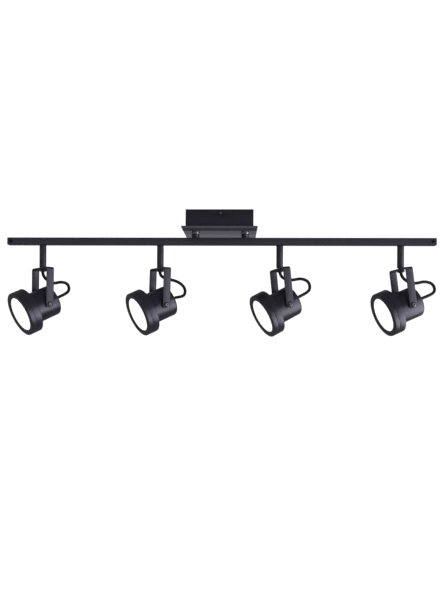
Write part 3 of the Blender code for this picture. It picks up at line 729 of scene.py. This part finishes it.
def make_head(n, loop):
    pan, tilt = JOINTS[f"pan_{n}"], JOINTS[f"tilt_{n}"]
    up, a = Vector(pan["axis"]).normalized(), Vector(tilt["axis"]).normalized()
    b = up.cross(a)
    origin, pivot = Vector(pan["pos_m"]), Vector(tilt["pos_m"])
    angle = math.radians(90 - tilt["range_deg"][1])
    yoke_m = Matrix((a, b, up)).transposed().to_4x4()
    yoke_m.translation = origin
    lamp_m = Matrix.Translation(pivot) @ Matrix((a, b, up)).transposed().to_4x4() @ Matrix.Rotation(angle, 4, "X")
    x = origin.x / MM
    yoke_top = origin.z / MM
    lean = abs(math.asin(up.x))
    lamp, yoke_body = f"lamp_{n}", f"yoke_{n}"

    shoulder = yoke_top + GAP + STEM_R * math.sin(lean) + 0.05
    prof = fillet(
        [(BAR_BOTTOM + 4.5, 0), (BAR_BOTTOM + 4.5, STUD_R), (BAR_BOTTOM - GAP, STUD_R), (BAR_BOTTOM - GAP, STEM_R), (shoulder, STEM_R), (shoulder, 0)],
        [0, 0.4, 0, 0.5, 0.7, 0], closed=False,
    )
    stem = raw(f"stem_tube_{n}", shift(turned(prof, 64), (x, 0, 0)))
    stud_end = -YOKE_THICK - GAP - NUT_HEIGHT - 1.2
    stud = turned(fillet([(stud_end, 0), (stud_end, STUD_R), (8, STUD_R), (8, 0)], [0, 0.5, 0, 0], closed=False), 48)
    carve(stem, [stud], yoke_m, "UNION")
    carve(stem, [turned([(stud_end - 3, 0), (stud_end - 3, STUD_BORE_R), (6, STUD_BORE_R), (6, 0)], 40)], yoke_m)
    piece(stem, BLACK, "fixture", "black_powder_coat", f"stem_{n}")

    piece(placed(f"yoke_nut_{n}", make_nut, yoke_m), NUT_BLACK, "fixture", "dark_fastener", f"swivel_nut_{n}", angle=20)
    piece(placed(f"yoke_strap_{n}", make_yoke, yoke_m), YOKE_BLACK_PAINTED_LIGHT, yoke_body, "black_powder_coat", f"yoke_{n}")

    # Lead, with its straight ends inside the stud and the gland.
    back = Vector((0, math.cos(angle), math.sin(angle)))
    hub = Vector((0, 0, -YOKE_DROP))
    knots = [Vector((0, 0, z)) for z in (-2.0, -7.0, -12.5)] + [Vector((0, p, q)) for p, q in loop] + [hub + back * d for d in (37.0, 30.0, 23.0)]
    line, _ = even(spline(knots), 1.5)
    line = smooth_line(line, 10)
    _, length = even(line, 1.5)
    lead = raw(f"flex_{n}", tube_bm(line, LEAD_R), yoke_m)
    piece(lead, RUBBER, None, "black_rubber", f"lead_{n}")
    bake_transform(lead)

    piece(placed(f"lamp_body_{n}", make_housing, lamp_m), HEAD_BLACK, lamp, "black_head_coat", f"housing_{n}")
    piece(placed(f"bezel_ring_{n}", make_bezel, lamp_m), HEAD_BLACK, lamp, "black_head_coat", f"bezel_{n}")
    piece(placed(f"diffuser_{n}", make_lens, lamp_m), LENS, lamp, "frosted_lens", f"lens_{n}")
    piece(placed(f"tilt_screw_left_{n}", make_screw_left, lamp_m), PIVOT, lamp, "dark_fastener", f"pivot_screw_left_{n}")
    piece(placed(f"tilt_screw_right_{n}", make_screw_right, lamp_m), PIVOT, lamp, "dark_fastener", f"pivot_screw_right_{n}")
    piece(placed(f"strain_relief_{n}", make_gland, lamp_m), RUBBER, lamp, "black_rubber", f"cord_gland_{n}")

    node = NODES[f"led_board_{n}"]
    node.data.materials.clear()
    node.data.materials.append(BOARD)
    return length


make_canopy()
make_bar()
for index, loop_points in enumerate(LOOPS, 1):
    print("lead", index, round(make_head(index, loop_points), 1), "mm")


# ---------------------------------------------------------------- studio
def make_studio():
    """A white seamless room that lights the piece evenly, with softboxes that show in the paint."""
    floor, wall, top, r, sides = -1.15, 4.0, 3.2, 1.2, 72
    line = [(0.0, floor), (wall - r, floor)]
    line += [(wall - r + r * math.sin(t), floor + r - r * math.cos(t)) for t in [math.pi / 2 * k / 16 for k in range(1, 17)]]
    line += [(wall - r + r * math.cos(t), top - r + r * math.sin(t)) for t in [math.pi / 2 * k / 16 for k in range(17)]] + [(0.0, top)]
    room = raw("seamless_room", turned([(z * 1000, q * 1000) for q, z in line], sides))
    mat, tree, shader = new_material("pale_room")
    tone = ramp(tree, noise(tree, 3.0, 2.0).outputs["Fac"], [(0.3, (0.30, 0.30, 0.30)), (0.7, (0.32, 0.32, 0.32))])
    link(tree, tone.outputs["Color"], shader.inputs["Base Color"])
    shader.inputs["Roughness"].default_value = 0.9
    shader.inputs["Specular IOR Level"].default_value = 0.0
    shader.inputs["Emission Color"].default_value = (1, 1, 1, 1)
    shader.inputs["Emission Strength"].default_value = 0.72
    room.data.materials.append(mat)
    room.data.shade_smooth()
    room.visible_glossy = False

    world = bpy.data.worlds.new("studio")
    world.use_nodes = True
    world.node_tree.nodes["Background"].inputs["Color"].default_value = (0.94, 0.92, 1.0, 1)
    world.node_tree.nodes["Background"].inputs["Strength"].default_value = 0.20
    SCENE.world = world

    def softbox(name, at, look, wide, high, radiance, colour=(0.96, 0.94, 1.0)):
        lamp = bpy.data.lights.new(name, "AREA")
        lamp.shape, lamp.size, lamp.size_y = "RECTANGLE", wide, high
        lamp.energy = radiance * math.pi * wide * high
        lamp.color = colour
        obj = bpy.data.objects.new(name, lamp)
        SCENE.collection.objects.link(obj)
        obj.location = at
        obj.rotation_euler = (Vector(look) - Vector(at)).to_track_quat("-Z", "Y").to_euler()
        obj.visible_camera = False

    soft = (0.98, 0.97, 1.0)
    softbox("key_right", (1.85, -0.75, -0.35), (0, 0, -0.25), 1.9, 1.3, 3.4, soft)
    softbox("low_right", (1.75, -0.25, -1.05), (-0.1, 0, -0.2), 1.7, 0.7, 5.0, soft)
    softbox("front_fill", (0, -3.0, -0.3), (0, 0, -0.1), 2.6, 1.2, 0.45, soft)
    softbox("left_fill", (-1.9, -1.2, 0.3), (0, 0, -0.15), 1.0, 1.0, 0.5, soft)
    SCENE.view_settings.view_transform = "Standard"


make_studio()
